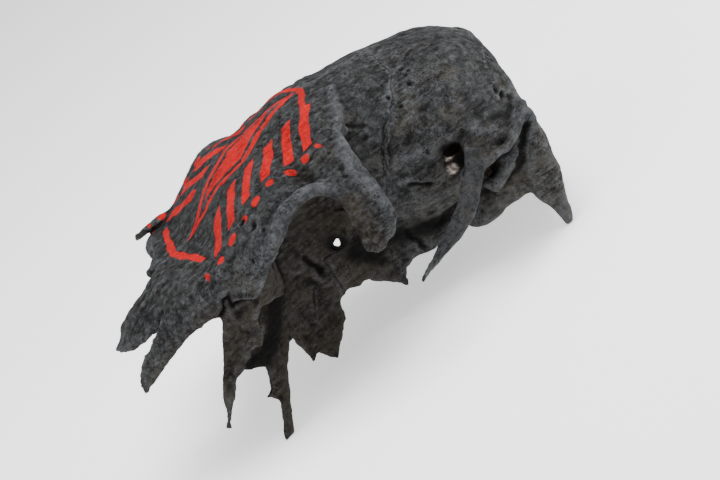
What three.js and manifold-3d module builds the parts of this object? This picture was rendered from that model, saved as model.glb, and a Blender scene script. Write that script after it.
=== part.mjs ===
// Skull cap of a cow elk with the muzzle broken away, at life size, in millimetres.
// It lies upright on the tips of its two paroccipital processes and of one long splinter of the palate wall.
//
// Every point is written as (s, w, h): s runs forward from the back of the nuchal crest, w runs to the
// animal's left from the midline, and h runs up. In the finished group X is w, Y is -s and Z is h.
import * as THREE from "three";
import { mergeVertices } from "three/addons/utils/BufferGeometryUtils.js";
import Module from "manifold-3d";

const wasm = await Module();
wasm.setup();
const { Manifold, Mesh: SolidMesh } = wasm;

// Driving dimensions

const FLOOR = -2.1; // h of the surface the skull lies on
const SUTURE_GAP = 0.3; // between neighbouring bones
const LEFT = 1;
const RIGHT = -1;
const BRAIN_WALL = 4.5; // thickness of the braincase
const REACH = 150; // farther than any point of the skull from the midline

// Half-width and height of the braincase along s
const caseHalfWidth = through([
  [0, 42], [5, 46], [12, 47.5], [30, 47], [45, 46.5], [60, 44], [72, 42], [85, 38], [95, 31], [100, 27],
]);
const caseMiddle = through([[0, 50], [30, 56], [60, 60], [100, 66]]);
const caseBase = through([[0, 26], [20, 19], [45, 17], [75, 24], [100, 40]]);
const casePower = through([[0, 1.45], [10, 1.75], [22, 2.1], [60, 2.3], [100, 2.2]]);

// The crown line, the half-width of the roof, its lower border, squareness and thickness along s
const crown = through([
  [0, 82], [3, 85.5], [14, 95], [37, 102], [61, 107], [80, 109], [93, 109.3], [102, 108.8], [113, 106.4],
  [124, 103], [132, 100], [142, 95], [149, 90], [157, 86], [164, 84.5], [176, 84], [197, 76], [216, 66],
]);
const roofHalfWidth = through([
  [64, 27], [72, 31], [79, 36], [86, 44], [93, 52], [104, 54], [112, 56.5], [119, 60.5], [130, 62], [142, 60], [155, 54],
  [165, 50], [176, 47.5], [190, 40], [216, 31],
]);
const roofBase = through([
  [64, 84], [72, 88], [79, 92], [88, 91], [96, 88], [104, 87], [112, 87], [119, 89], [130, 84], [142, 75], [155, 67], [165, 66], [176, 66.5], [190, 63],
  [216, 51],
]);
const roofPower = through([
  [64, 2.2], [86, 1.9], [96, 1.5], [108, 1.4], [114, 1.5], [122, 2], [130, 2.4], [142, 3], [155, 5], [165, 5], [176, 4], [190, 2.6], [216, 2.2],
]);
const roofThick = through([[64, 14], [79, 8], [100, 8], [130, 6.5], [150, 5], [176, 4], [216, 2.6]]);

// Points and curves

function at(s, w, h) {
  return new THREE.Vector3(w, -s, h);
}

// A smooth function through [position, value] stations, level beyond both ends.
function through(stations) {
  const last = stations.length - 1;
  const slope = stations.map((_, i) => {
    const before = stations[Math.max(i - 1, 0)];
    const after = stations[Math.min(i + 1, last)];
    return (after[1] - before[1]) / (after[0] - before[0]);
  });
  return (x) => {
    if (x <= stations[0][0]) return stations[0][1];
    if (x >= stations[last][0]) return stations[last][1];
    const i = stations.findIndex((station) => station[0] > x) - 1;
    const span = stations[i + 1][0] - stations[i][0];
    const t = (x - stations[i][0]) / span;
    return (
      stations[i][1] * (1 + 2 * t) * (1 - t) ** 2 +
      slope[i] * span * t * (1 - t) ** 2 +
      stations[i + 1][1] * t * t * (3 - 2 * t) +
      slope[i + 1] * span * t * t * (t - 1)
    );
  };
}

function evenly(from, to, steps) {
  return Array.from({ length: steps + 1 }, (_, i) => from + ((to - from) * i) / steps);
}

// A point at an angle on a rounded box, squarer as power grows.
function onArch(angle, halfWidth, height, power) {
  const c = Math.cos(angle);
  const s = Math.sin(angle);
  const reach = (Math.abs(c) ** power + Math.abs(s) ** power) ** (-1 / power);
  return [halfWidth * reach * c, height * reach * s];
}

// Solids

// A three.js geometry as a solid for joining and cutting.
function solidOf(geometry) {
  const bare = new THREE.BufferGeometry();
  bare.setAttribute("position", geometry.getAttribute("position"));
  if (geometry.index) bare.setIndex(geometry.index);
  const merged = mergeVertices(bare, 1e-4);
  const triVerts = new Uint32Array(merged.index.array);
  const vertProperties = new Float32Array(merged.attributes.position.array);
  const made = new Manifold(new SolidMesh({ numProp: 3, vertProperties, triVerts }));
  if (made.volume() > 0) return made;
  for (let i = 0; i < triVerts.length; i += 3) {
    [triVerts[i + 1], triVerts[i + 2]] = [triVerts[i + 2], triVerts[i + 1]];
  }
  return new Manifold(new SolidMesh({ numProp: 3, vertProperties, triVerts }));
}

// A closed skin over a row of rings with the same number of points, capped at both ends.
function skinOver(rings) {
  const around = rings[0].length;
  const positions = rings.flat().flatMap((p) => [p.x, p.y, p.z]);
  const faces = [];
  for (let i = 0; i + 1 < rings.length; i++) {
    for (let j = 0; j < around; j++) {
      const a = i * around + j;
      const b = i * around + ((j + 1) % around);
      faces.push(a, b, a + around, b, b + around, a + around);
    }
  }
  for (const row of [0, rings.length - 1]) {
    const middle = rings[row].reduce((sum, p) => sum.add(p), new THREE.Vector3()).divideScalar(around);
    const centre = positions.length / 3;
    positions.push(middle.x, middle.y, middle.z);
    for (let j = 0; j < around; j++) {
      const a = row * around + j;
      const b = row * around + ((j + 1) % around);
      faces.push(centre, row === 0 ? b : a, row === 0 ? a : b);
    }
  }
  const geometry = new THREE.BufferGeometry();
  geometry.setAttribute("position", new THREE.Float32BufferAttribute(positions, 3));
  geometry.setIndex(faces);
  return geometry;
}

// A bar along a smooth path, wide towards `side` and thin across it. Widths and thicknesses are halves.
function bar({ path, width, thick, side, steps = 10, around = 8 }) {
  const curve = new THREE.CatmullRomCurve3(path, false, "centripetal");
  const widthAt = through(width);
  const thickAt = through(thick);
  const rings = evenly(0, 1, steps).map((t) => {
    const centre = curve.getPointAt(t);
    const along = curve.getTangentAt(t);
    const across = new THREE.Vector3().crossVectors(along, side).normalize();
    const wide = new THREE.Vector3().crossVectors(across, along).normalize();
    return evenly(0, 2 * Math.PI, around).slice(0, -1).map((angle) =>
      centre
        .clone()
        .addScaledVector(wide, widthAt(t) * Math.cos(angle))
        .addScaledVector(across, thickAt(t) * Math.sin(angle)),
    );
  });
  return solidOf(skinOver(rings));
}

function ellipsoid([s, w, h], [alongS, alongW, alongH], slices = 14, stacks = 8) {
  const geometry = new THREE.SphereGeometry(1, slices, stacks);
  geometry.scale(alongW, alongS, alongH);
  const middle = at(s, w, h);
  geometry.translate(middle.x, middle.y, middle.z);
  return solidOf(geometry);
}

// A round drill between two points.
function drill(from, to, radius, sides = 10) {
  const geometry = new THREE.CylinderGeometry(radius, radius, from.distanceTo(to), sides);
  const turn = new THREE.Quaternion().setFromUnitVectors(
    new THREE.Vector3(0, 1, 0),
    to.clone().sub(from).normalize(),
  );
  geometry.applyQuaternion(turn);
  const middle = from.clone().add(to).multiplyScalar(0.5);
  geometry.translate(middle.x, middle.y, middle.z);
  return solidOf(geometry);
}

// An outline drawn from the side in (s, h), filled between two distances from the midline.
function fromSide(outline, nearW = -REACH, farW = REACH) {
  const shape = new THREE.Shape(outline.map(([s, h]) => new THREE.Vector2(-s, h)));
  const geometry = new THREE.ExtrudeGeometry(shape, { depth: farW - nearW, bevelEnabled: false });
  const upright = new THREE.Matrix4().makeBasis(
    new THREE.Vector3(0, 1, 0),
    new THREE.Vector3(0, 0, 1),
    new THREE.Vector3(1, 0, 0),
  );
  geometry.applyMatrix4(upright);
  geometry.translate(nearW, 0, 0);
  return solidOf(geometry);
}

// An outline drawn from above in (s, w), filled between two heights.
function fromAbove(outline, lowH = -50, highH = 200) {
  const shape = new THREE.Shape(outline.map(([s, w]) => new THREE.Vector2(w, -s)));
  const geometry = new THREE.ExtrudeGeometry(shape, { depth: highH - lowH, bevelEnabled: false });
  geometry.translate(0, 0, lowH);
  return solidOf(geometry);
}

// A bent plate over a rectangle of s and h, its middle at distance w(s, h) from the midline.
function bentPlate(side, [s0, s1, sSteps], [h0, h1, hSteps], wAt, thickAt) {
  const rings = evenly(s0, s1, sSteps).map((s) => {
    const rise = evenly(h0, h1, hSteps);
    const face = (sign) => rise.map((h) => at(s, side * (wAt(s, h) + (sign * thickAt(s, h)) / 2), h));
    return [...face(1), ...face(-1).reverse()];
  });
  return solidOf(skinOver(rings));
}

// A plate between four corners, of even thickness.
function fourCornered([a, b, c, d], thick, steps = 2) {
  const normal = new THREE.Vector3()
    .crossVectors(c.clone().sub(a), d.clone().sub(b))
    .normalize()
    .multiplyScalar(thick / 2);
  const rings = evenly(0, 1, steps).map((u) => {
    const start = a.clone().lerp(b, u);
    const end = d.clone().lerp(c, u);
    const line = evenly(0, 1, steps).map((v) => start.clone().lerp(end, v));
    return [...line.map((p) => p.clone().add(normal)), ...line.reverse().map((p) => p.clone().sub(normal))];
  });
  return solidOf(skinOver(rings));
}

const joined = (solids) => solids.reduce((sum, one) => sum.add(one));
const bothSides = (make) => [make(LEFT), make(RIGHT)];

// The braincase

// Its skin drawn `inset` within the outer surface, between two stations, each ring shrunk by `scale`.
function caseSkin(inset, s0, s1, steps, around, scale) {
  const rings = evenly(s0, s1, steps).map((s) => {
    const middle = caseMiddle(s);
    const up = crown(s) - middle - inset;
    const down = middle - caseBase(s) - inset;
    const lean = 0.0042 * Math.max(0, 1 - s / 38);
    return evenly(0, 2 * Math.PI, around).slice(0, -1).map((angle) => {
      const tall = Math.sin(angle) > 0 ? up : down;
      const power = Math.sin(angle) > 0 ? casePower(s) : 2;
      const [w, h] = onArch(angle, caseHalfWidth(s) - inset, tall, power);
      return at(s + lean * w * w, w * scale(s), middle + h * scale(s));
    });
  });
  return solidOf(skinOver(rings));
}

const braincase = caseSkin(0, 1, 100, 18, 30, () => 1);
const brain = caseSkin(
  BRAIN_WALL, 7, 92, 11, 16, through([[7, 0.6], [12, 0.9], [22, 1], [78, 1], [87, 0.8], [92, 0.4]]),
);

const nuchalCrest = bar({
  path: [
    at(11.5, -48, 45), at(10.5, -48, 54), at(11.8, -38, 61.6), at(10.5, -25, 69), at(8, -12, 78.6), at(7, 0, 83),
    at(8, 12, 78.6), at(10.5, 25, 69), at(11.8, 38, 61.6), at(10.5, 48, 54), at(11.5, 48, 45),
  ],
  width: [[0, 2.5], [0.2, 3.4], [0.5, 3.6], [0.8, 3.4], [1, 2.5]],
  thick: [[0, 2], [0.5, 2.6], [1, 2]],
  side: at(-1, 0, 0.8),
  steps: 16,
});

const occipitalRidge = bar({
  path: [at(6, 0, 84), at(4, 0, 72), at(4.5, 0, 58), at(6, 0, 50)],
  width: [[0, 5], [0.6, 3.2], [1, 2]],
  thick: [[0, 4], [0.5, 3], [1, 2]],
  side: at(1, 0, 0),
  steps: 6,
});

// The temporal bones and the base

function earRegion(side) {
  const zygomaticProcess = bar({
    path: [
      at(38, side * 43, 53), at(44.5, side * 54, 53.4), at(50.5, side * 61, 50.4), at(57, side * 65, 46),
      at(65.5, side * 68, 41.4), at(76, side * 71, 38.9), at(88, side * 75, 36.8), at(97, side * 78, 34.6),
    ],
    width: [[0, 10], [0.2, 7.4], [0.35, 6], [0.58, 5.4], [0.74, 4], [0.88, 2.1], [1, 0.8]],
    thick: [[0, 5], [0.25, 3.2], [0.7, 2.2], [1, 0.8]],
    side: at(0, 0, 1),
    steps: 11,
  });
  const jointRoot = ellipsoid([43, side * 50, 51], [11.5, 9.5, 5.5], 12, 6);
  const temporalCrest = bar({
    path: [
      at(49, side * 60, 52), at(42, side * 56.5, 51.6), at(35, side * 53.5, 50.4), at(28, side * 51.5, 48.4),
      at(22, side * 50, 51), at(15, side * 47.5, 54.5), at(9, side * 43, 57.5),
    ],
    width: [[0, 2.4], [0.5, 2.6], [0.8, 4], [1, 4]],
    thick: [[0, 3], [0.5, 3.6], [1, 3]],
    side: at(0, 0, 1),
    steps: 8,
  });
  const earTube = bar({
    path: [at(21, side * 43, 44), at(26, side * 46.5, 41.5), at(33, side * 45.5, 38), at(41, side * 39, 32)],
    width: [[0, 4], [1, 4]],
    thick: [[0, 4], [1, 4.6]],
    side: at(0, 0, 1),
    steps: 4,
  });
  const bulla = ellipsoid([45, side * 28, 23.3], [12.5, 9, 10.2], 12, 7);
  const bridge = bar({
    path: [at(17, side * 44, 31), at(28, side * 40, 27.5), at(43, side * 31, 23)],
    width: [[0, 9], [0.5, 8.4], [1, 7]],
    thick: [[0, 6], [1, 6]],
    side: at(0, 0, 1),
    steps: 3,
  });
  const mastoid = ellipsoid([15.5, side * 39.5, 40], [8.5, 9, 15], 12, 6);
  const paroccipitalProcess = bar({
    path: [
      at(14.5, side * 44, 46), at(17.6, side * 45.5, 33), at(20, side * 46, 24), at(20.2, side * 46, 16),
      at(19.8, side * 46, 9), at(20.4, side * 46.5, 2), at(21.2, side * 47, -2), at(21.4, side * 47, -3.6),
    ],
    width: [[0, 5.5], [0.26, 8.4], [0.44, 9.4], [0.6, 8.2], [0.74, 5.8], [0.88, 3.8], [0.97, 2.5], [1, 2.1]],
    thick: [[0, 5], [0.5, 3.6], [0.8, 2.6], [1, 1.5]],
    side: at(1, 0, 0),
    steps: 11,
  });
  const condyle = ellipsoid([8.5, side * 15, 27.5], [9.5, 8, 10.5], 12, 7);
  return joined([
    zygomaticProcess, jointRoot, temporalCrest, earTube, bulla, bridge, mastoid, paroccipitalProcess, condyle,
  ]);
}

const baseBar = bar({
  path: [at(0, 0, 24), at(22, 0, 20), at(50, 0, 21), at(80, 0, 27), at(106, 0, 34)],
  width: [[0, 16], [0.3, 13], [0.6, 10], [1, 7]],
  thick: [[0, 6], [0.5, 5], [1, 4]],
  side: at(0, 1, 0),
});

// The walls between the eye sockets

const wallFoot = through([
  [58, 30], [66, 29], [80, 26], [93, 22.5], [110, 22], [147, 23], [153, 27], [166, 35], [178, 40],
]);
const wallFlare = through([[15, 0], [30, 2], [50, 6], [80, 8], [98, 12]]);
const wallThick = through([[0, 2.2], [30, 3], [60, 4.5], [98, 6]]);
const wallOutline = [
  [94, 97], [90, 72], [60, 50], [58, 25], [64, 21], [73, 21], [79, 21], [85, 22.5], [90, 18.7], [93.7, 13], [97, 16.5], [102, 21.2],
  [108.6, 28], [111, 25.7], [118, 29.2], [122.5, 26.5], [124.5, 17.5], [127, 17.2], [132, 10.5], [137.5, 5],
  [140.7, 8.8], [144, 14.7], [147.4, 11.4], [148.8, 17.4], [150.4, 25.5], [150, 31], [146.6, 38.6], [142, 50],
  [148, 38.8], [151.6, 31], [152.6, 28], [159.8, 20.6],
  [161.4, 17], [166.6, 10.4], [171, 4], [175, -3.6], [179.4, -3.6], [179.6, 0], [176.6, 4.7], [174, 9],
  [172, 12.6], [173.9, 19.6], [171, 20.6], [170.8, 23], [166.7, 30], [175, 34.8], [177, 37], [175, 43],
  [168, 52], [163, 62], [159, 70], [157, 80],
];
const farWallOutline = [
  ...wallOutline.slice(0, 17), [125, 23], [129, 20], [133, 22.5], [138, 18], [143, 24], [147, 21.5],
  [150, 29], [156, 32], [161, 38], ...wallOutline.slice(-3),
];

function orbitWall(side) {
  const spread = (s, h) => wallFoot(s) + wallFlare(h) * (s > 150 ? Math.max(0, 1 - (s - 150) / 18) : 1);
  const plate = bentPlate(side, [57, 182, 16], [-6, 98, 8], spread, (s, h) => wallThick(h));
  return plate.intersect(fromSide(side === LEFT ? wallOutline : farWallOutline));
}

// The roof: an arched vault of frontal and nasal bone, open below

function roof() {
  const rings = evenly(64, 217, 26).map((s) => {
    const arc = evenly(0, Math.PI, 16);
    const rise = crown(s) - roofBase(s);
    const outer = arc.map((angle) => {
      const [w, h] = onArch(angle, roofHalfWidth(s), rise, roofPower(s));
      return at(s, w, roofBase(s) + h);
    });
    const inner = arc.map((angle) => {
      const [w, h] = onArch(angle, roofHalfWidth(s) - roofThick(s), Math.max(rise - roofThick(s), 1), roofPower(s));
      return at(s, w, roofBase(s) + h - Math.max(0, 1 + roofThick(s) - rise));
    });
    return [...outer, ...inner.reverse()];
  });
  return solidOf(skinOver(rings));
}

// The broken front border of the roof, drawn from above, with its two long splinters
const roofOutline = [
  [50, -80], [168, -80], [174, -55], [173, -45], [171, -36], [172, -28], [175, -14], [182, -7], [177, -5],
  [176, -3], [179, -1], [187, 1], [198, -1], [205, -3], [207, 1], [213, 4], [212, 10], [209, 15], [202, 23],
  [196, 26.5], [191, 28], [178, 29], [189, 30], [200, 29], [205.5, 27.5], [211.5, 28.5], [215.5, 30],
  [211.5, 32.3], [207.5, 33.5], [200.5, 36.2], [191, 38.8], [183, 42.6], [175, 47], [171, 52], [168, 80],
  [50, 80],
];

const farCorner = bar({
  path: [at(150, RIGHT * 46, 84), at(163, RIGHT * 45.5, 84.6), at(173.5, RIGHT * 44, 84.4)],
  width: [[0, 5], [0.7, 4], [1, 2]],
  thick: [[0, 2], [1, 1]],
  side: at(0, 1, 0.3),
  steps: 5,
});

// The postorbital processes and the lacrimal plates

function postorbitalProcess(side) {
  return bar({
    path: [
      at(96, side * 40, 96), at(96, side * 54, 90), at(97, side * 65, 81), at(98.3, side * 71, 72),
      at(100.6, side * 74.5, 63.5), at(105, side * 75.5, 56),
    ],
    width: [[0, 12], [0.3, 10], [0.55, 9.4], [0.8, 10.6], [0.92, 9.2], [1, 6]],
    thick: [[0, 4], [0.5, 3.4], [1, 2.2]],
    side: at(1, 0, 0),
    steps: 10,
    around: 10,
  });
}

// The rounded brow over each eye socket, from the postorbital process down to the lacrimal bone
function brow(side) {
  return bar({
    path: [
      at(103, side * 64, 80), at(107, side * 60, 87), at(114, side * 59, 91), at(124, side * 60.5, 91.5),
      at(134, side * 60.5, 86), at(143, side * 58, 77.5), at(151, side * 54, 69.5), at(156, side * 51.5, 65),
    ],
    width: [[0, 4], [0.5, 3.6], [1, 3]],
    thick: [[0, 2.6], [0.5, 2.4], [1, 2]],
    side: at(0, 1, 0.4),
    steps: 10,
  });
}

const bladeFoot = through([[150, 50.6], [165, 48.2], [178, 46], [188, 46.8], [198, 49]]);
const bladeOutline = [
  [151, 71], [153, 66], [155, 59.8], [161, 54.6], [158.6, 52.4], [164.2, 44.4], [170, 46], [170.6, 42.4],
  [174, 42.4], [175.4, 39.8], [181, 38.5], [187.4, 32.4], [192, 28.5],
  [196.5, 23.5], [197.8, 24], [194, 29.7], [193.6, 33], [190.6, 37.9], [185, 45], [179.9, 52.1], [172, 64.4],
  [172, 72],
];
const farBladeOutline = [
  [152, 71], [154.9, 66], [162, 58], [167, 56], [172, 49], [176, 52], [176, 57], [172, 64.4], [172, 72],
];

function lacrimalPlates(side) {
  const blade = bentPlate(side, [150, 199, 5], [20, 74, 1], (s) => bladeFoot(s), () => 2.6);
  const trimmedBlade = blade.intersect(fromSide(side === LEFT ? bladeOutline : farBladeOutline));
  const socketFront = fourCornered(
    [at(151, side * 53, 72), at(138.5, side * 44, 73), at(143, side * 36, 52), at(156, side * 47.5, 58.5)],
    2.6,
  );
  const socketFloor = fourCornered(
    [at(139.5, side * 45, 72), at(139, side * 27, 70), at(141.5, side * 27, 51), at(144, side * 38, 52)],
    2.6,
  );
  return joined([trimmedBlade, socketFront, socketFloor]);
}

// Openings

const foramenMagnum = drill(at(-30, 0, 37), at(14, 0, 37), 12.5, 18);
const throughHole = drill(at(115, 57, 64), at(95.4, -54, 17.3), 2.1, 10);

function openings(side) {
  return joined([
    ellipsoid([50.3, side * 48.6, 55.4], [6, 5.4, 8], 10, 7), // hollow of the temporal foramen
    ellipsoid([46.8, side * 44, 59.4], [4.4, 9, 2.4], 8, 5), // the foramen itself, into the braincase
    drill(at(52.2, side * 52, 51.6), at(52.2, side * 36, 51.6), 1.1, 8), // small foramen below it
    ellipsoid([60, side * 36, 31], [8, 7, 4], 10, 6), // hollow under the infratemporal crest
    drill(at(141, side * 45, 110), at(139, side * 40, 70), 2.1), // supraorbital foramen
    ellipsoid([36.5, side * 50, 43.6], [5.8, 7, 3.2], 10, 6), // mouth of the ear canal
    drill(at(37, side * 50, 43), at(38, side * 34, 36), 2.6), // ear canal
    ellipsoid([62, side * 25, 19], [6, 3.2, 6], 10, 6), // oval foramen
    ellipsoid([88, side * 35, 44], [5, 5, 3.6], 10, 6), // orbital fissure
  ]);
}

// The whole skull as it lies

const bone = joined([
  braincase, nuchalCrest, occipitalRidge, baseBar,
  roof().intersect(fromAbove(roofOutline)), farCorner,
  ...bothSides(earRegion), ...bothSides(orbitWall), ...bothSides(postorbitalProcess), ...bothSides(brow), ...bothSides(lacrimalPlates),
]);
const whole = bone
  .subtract(brain)
  .subtract(foramenMagnum)
  .subtract(throughHole)
  .subtract(joined(bothSides(openings)))
  .intersect(fromSide([[-50, FLOOR], [300, FLOOR], [300, 200], [-50, 200]]));

// Sutures

// The same line with teeth: a point every `pitch`, stepping up to `reach` to either side.
function toothed(points, pitch, reach) {
  const teeth = [points[0]];
  let turn = 1;
  for (let i = 0; i + 1 < points.length; i++) {
    const [x0, y0] = points[i];
    const [x1, y1] = points[i + 1];
    const length = Math.hypot(x1 - x0, y1 - y0);
    const count = Math.max(1, Math.round(length / pitch));
    for (let k = 0; k < count; k++) {
      const t = (k + 0.5) / count;
      const step = (reach * turn * (2 + Math.sin(5 * i + 3 * k))) / (3 * length);
      teeth.push([x0 + (x1 - x0) * t - (y1 - y0) * step, y0 + (y1 - y0) * t + (x1 - x0) * step]);
      turn = -turn;
    }
  }
  teeth.push(points[points.length - 1]);
  return teeth;
}

// A closed outline moved outwards all round.
function grown(points, distance) {
  const next = (i) => points[(i + 1) % points.length];
  const area = points.reduce((sum, [x, y], i) => sum + x * next(i)[1] - next(i)[0] * y, 0);
  const turn = Math.sign(area) * distance;
  const normals = points.map(([x, y], i) => {
    const [nx, ny] = next(i);
    const length = Math.hypot(nx - x, ny - y);
    return [(ny - y) / length, -(nx - x) / length];
  });
  return points.map(([x, y], i) => {
    const before = normals[(i + points.length - 1) % points.length];
    const after = normals[i];
    const sum = [before[0] + after[0], before[1] + after[1]];
    const scale = turn / (sum[0] * before[0] + sum[1] * before[1]);
    return [x + sum[0] * scale, y + sum[1] * scale];
  });
}

const largest = (solid) => solid.decompose().reduce((a, b) => (a.volume() > b.volume() ? a : b));

let rest = whole;
const bones = [];

// Takes one bone out of the rest: what lies inside its regions, with the suture gap left round it.
// A region is [draw, outline, from, to].
function takeBone(name, colour, regions) {
  const inside = regions.map(([draw, outline, from, to]) => draw(outline, from, to));
  const wider = regions.map(([draw, outline, from, to]) =>
    draw(grown(outline, SUTURE_GAP), from - SUTURE_GAP, to + SUTURE_GAP),
  );
  bones.push([name, largest(rest.intersect(joined(inside))), colour]);
  rest = rest.subtract(joined(wider));
}

const spanOn = (side, near, far) => (side === LEFT ? [near, far] : [-far, -near]);
const squamosalSuture = toothed([[17, 59], [32, 62], [46, 64], [60, 67], [74, 73]], 6, 0.8);
const coronalSuture = toothed([[74, 73], [67, 82], [57, 90], [50, 96], [46, 103]], 4, 1.2);
const lacrimalSuture = toothed([[147, 68.5], [171, 67.5]], 3.4, 1.5);
const midline = toothed([[42, 0], [172, 0]], 5, 0.8);

for (const side of [LEFT, RIGHT]) {
  const word = side === LEFT ? "left" : "right";
  takeBone(`lacrimal_${word}`, 0x40403f, [
    [
      fromSide,
      [[143, 10], [143, 68.5], ...lacrimalSuture, [176, 61], [188, 53], [205, 43], [230, 30], [230, 10]],
      ...spanOn(side, 43, 90),
    ],
  ]);
  takeBone(`temporal_${word}`, 0x3d3b39, [
    [
      fromSide,
      [[28, -10], [27, 24], [24, 36], [21, 48], ...squamosalSuture, [78, 62], [80, 40], [80, -10]],
      ...spanOn(side, 30, 95),
    ],
    [fromSide, [[70, 25], [70, 52], [105, 52], [105, 25]], ...spanOn(side, 55, 95)],
    [fromSide, [[29, -5], [28.5, 33], [57, 33], [57, -5]], ...spanOn(side, 17.5, 60)],
  ]);
}
takeBone("occipital", 0x3b3b3c, [
  [
    fromSide,
    [[-40, -10], [28, -10], [27, 24], [24, 36], [21, 48], [17, 59], [15.5, 72], [17, 84], [15, 110], [-40, 110]],
    -90, 90,
  ],
  [fromSide, [[10, -5], [10, 34], [54, 34], [54, -5]], -16.5, 16.5],
]);
takeBone("parietal", 0x424242, [
  [fromSide, [[15, 130], [15, 110], [17, 84], [15.5, 72], ...squamosalSuture, ...coronalSuture.slice(1), [44, 130]], -90, 90],
]);
takeBone("sphenoid", 0x393837, [
  [
    fromSide,
    [[20, -10], [119, -10], [119, 50], [104, 48], [88, 50], [80, 62], [74, 73], [60, 66], [20, 55]],
    -60, 60,
  ],
]);
for (const side of [LEFT, RIGHT]) {
  const word = side === LEFT ? "left" : "right";
  takeBone(`palatine_${word}`, 0x3a3938, [
    [fromSide, [[115, -10], [115, 50], [135, 52], [150, 52], [190, 50], [190, -10]], ...spanOn(side, 0, 60)],
  ]);
}
takeBone("frontal_left", 0x444444, [
  [fromAbove, [[42, 95], ...midline, [176, -3.5], [180, -4.5], [230, -5], [230, 95]], -20, 150],
]);
takeBone("frontal_right", 0x434344, [
  [fromAbove, [[20, 95], [20, -95], [230, -95], [230, 95]], -20, 150],
]);

// The finished group stands with the middle of its underside at the origin

const group = new THREE.Group();
group.name = "elk_skull_cap";
for (const [name, solid, colour] of bones) {
  const mesh = solid.getMesh();
  const geometry = new THREE.BufferGeometry();
  geometry.setAttribute("position", new THREE.BufferAttribute(new Float32Array(mesh.vertProperties), 3));
  geometry.setIndex(new THREE.BufferAttribute(new Uint32Array(mesh.triVerts), 1));
  const part = new THREE.Mesh(geometry, new THREE.MeshStandardMaterial({ color: colour, roughness: 0.85 }));
  part.name = name;
  group.add(part);
}
const box = new THREE.Box3().setFromObject(group);
const foot = box.getCenter(new THREE.Vector3()).setZ(FLOOR);
for (const part of group.children) part.geometry.translate(-foot.x, -foot.y, -foot.z);
group.userData.origin = [foot.x, foot.y, foot.z];

export default group;
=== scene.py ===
# %% [markdown]
# A skull cap starts from solids that hold its true size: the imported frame.
# Everything below is made round those solids, in metres, in their own frame. The first cell loads them
# and keeps the size of their box, because no finished piece may stick out of it.

# %% The frame
import math

import bpy
import numpy as np
from mathutils import Matrix, Vector
from mathutils.bvhtree import BVHTree


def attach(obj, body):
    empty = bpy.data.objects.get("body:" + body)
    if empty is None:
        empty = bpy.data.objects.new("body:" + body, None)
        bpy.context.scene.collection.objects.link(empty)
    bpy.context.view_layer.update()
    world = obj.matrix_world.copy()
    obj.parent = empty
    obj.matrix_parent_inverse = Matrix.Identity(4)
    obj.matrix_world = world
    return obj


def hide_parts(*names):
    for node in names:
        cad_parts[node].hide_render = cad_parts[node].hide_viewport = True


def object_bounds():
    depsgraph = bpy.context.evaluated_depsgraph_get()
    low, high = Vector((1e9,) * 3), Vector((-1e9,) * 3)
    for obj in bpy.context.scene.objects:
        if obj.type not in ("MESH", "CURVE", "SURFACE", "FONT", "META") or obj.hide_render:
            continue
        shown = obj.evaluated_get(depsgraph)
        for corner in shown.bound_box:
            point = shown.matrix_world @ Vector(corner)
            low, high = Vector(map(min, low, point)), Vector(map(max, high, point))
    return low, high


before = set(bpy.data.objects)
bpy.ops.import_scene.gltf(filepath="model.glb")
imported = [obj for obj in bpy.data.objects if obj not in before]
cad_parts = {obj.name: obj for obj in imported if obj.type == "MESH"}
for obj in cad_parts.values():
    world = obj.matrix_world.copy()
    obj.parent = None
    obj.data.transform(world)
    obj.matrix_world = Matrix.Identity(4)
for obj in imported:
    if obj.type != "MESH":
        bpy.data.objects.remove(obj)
solid_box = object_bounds()
print("the solids reach from", solid_box[0], "to", solid_box[1])

# %% [markdown]
# A skull has its own directions: s runs forward along it, w to the animal's left and h up.
# All places on the bone are written that way, in millimetres, so that a ridge or a suture can be read
# like a note on a drawing. Short functions turn them into the frame's metres and back.

# %% Skull directions
MM = 0.001
MM_PER_METRE = 1000.0
MIDDLE_S = 107.213
FLOOR_H = -2.1


def turned(s, w, h):
    """A direction of the skull as a direction of the frame."""
    return Vector((w, -s, h))


def place(s, w, h):
    """A place on the skull in the frame's metres."""
    return Vector((w, MIDDLE_S - s, h - FLOOR_H)) * MM


def skull_places(metres):
    """Rows of (s, w, h) in millimetres for rows of frame coordinates."""
    mm = metres * MM_PER_METRE
    return np.stack([MIDDLE_S - mm[:, 1], mm[:, 0], mm[:, 2] + FLOOR_H], axis=1)


print("the middle of the frame is", MIDDLE_S, "mm in front of the skull's own zero")

# %% [markdown]
# The camera looks at the skull's left side, from slightly in front and above, and is rolled so that the
# crest stands highest in the picture and the splinters point down. A long lens keeps the shapes true.

# %% The camera
VIEW_ROUND = math.radians(80.0)
VIEW_ABOVE = math.radians(22.5)
VIEW_ROLL = math.radians(34.2)
VIEW_AWAY = 900.0  # mm from the aim
VIEW_SCALE = 2.26  # pixels of the picture for a millimetre at the aim
PICTURE_WIDE = 720.0  # pixels
SENSOR_WIDE = 36.0  # mm
NEAREST_SEEN = 0.01  # m
AIM = (99.3, 20.0, 42.8)

toward = (
    math.cos(VIEW_ABOVE) * math.cos(VIEW_ROUND),
    math.cos(VIEW_ABOVE) * math.sin(VIEW_ROUND),
    math.sin(VIEW_ABOVE),
)
level_right = (-math.sin(VIEW_ROUND), math.cos(VIEW_ROUND), 0.0)
level_up = (
    -math.sin(VIEW_ABOVE) * math.cos(VIEW_ROUND),
    -math.sin(VIEW_ABOVE) * math.sin(VIEW_ROUND),
    math.cos(VIEW_ABOVE),
)
back = turned(*toward)
right = turned(*level_right) * math.cos(VIEW_ROLL) - turned(*level_up) * math.sin(VIEW_ROLL)
up = turned(*level_right) * math.sin(VIEW_ROLL) + turned(*level_up) * math.cos(VIEW_ROLL)

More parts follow.
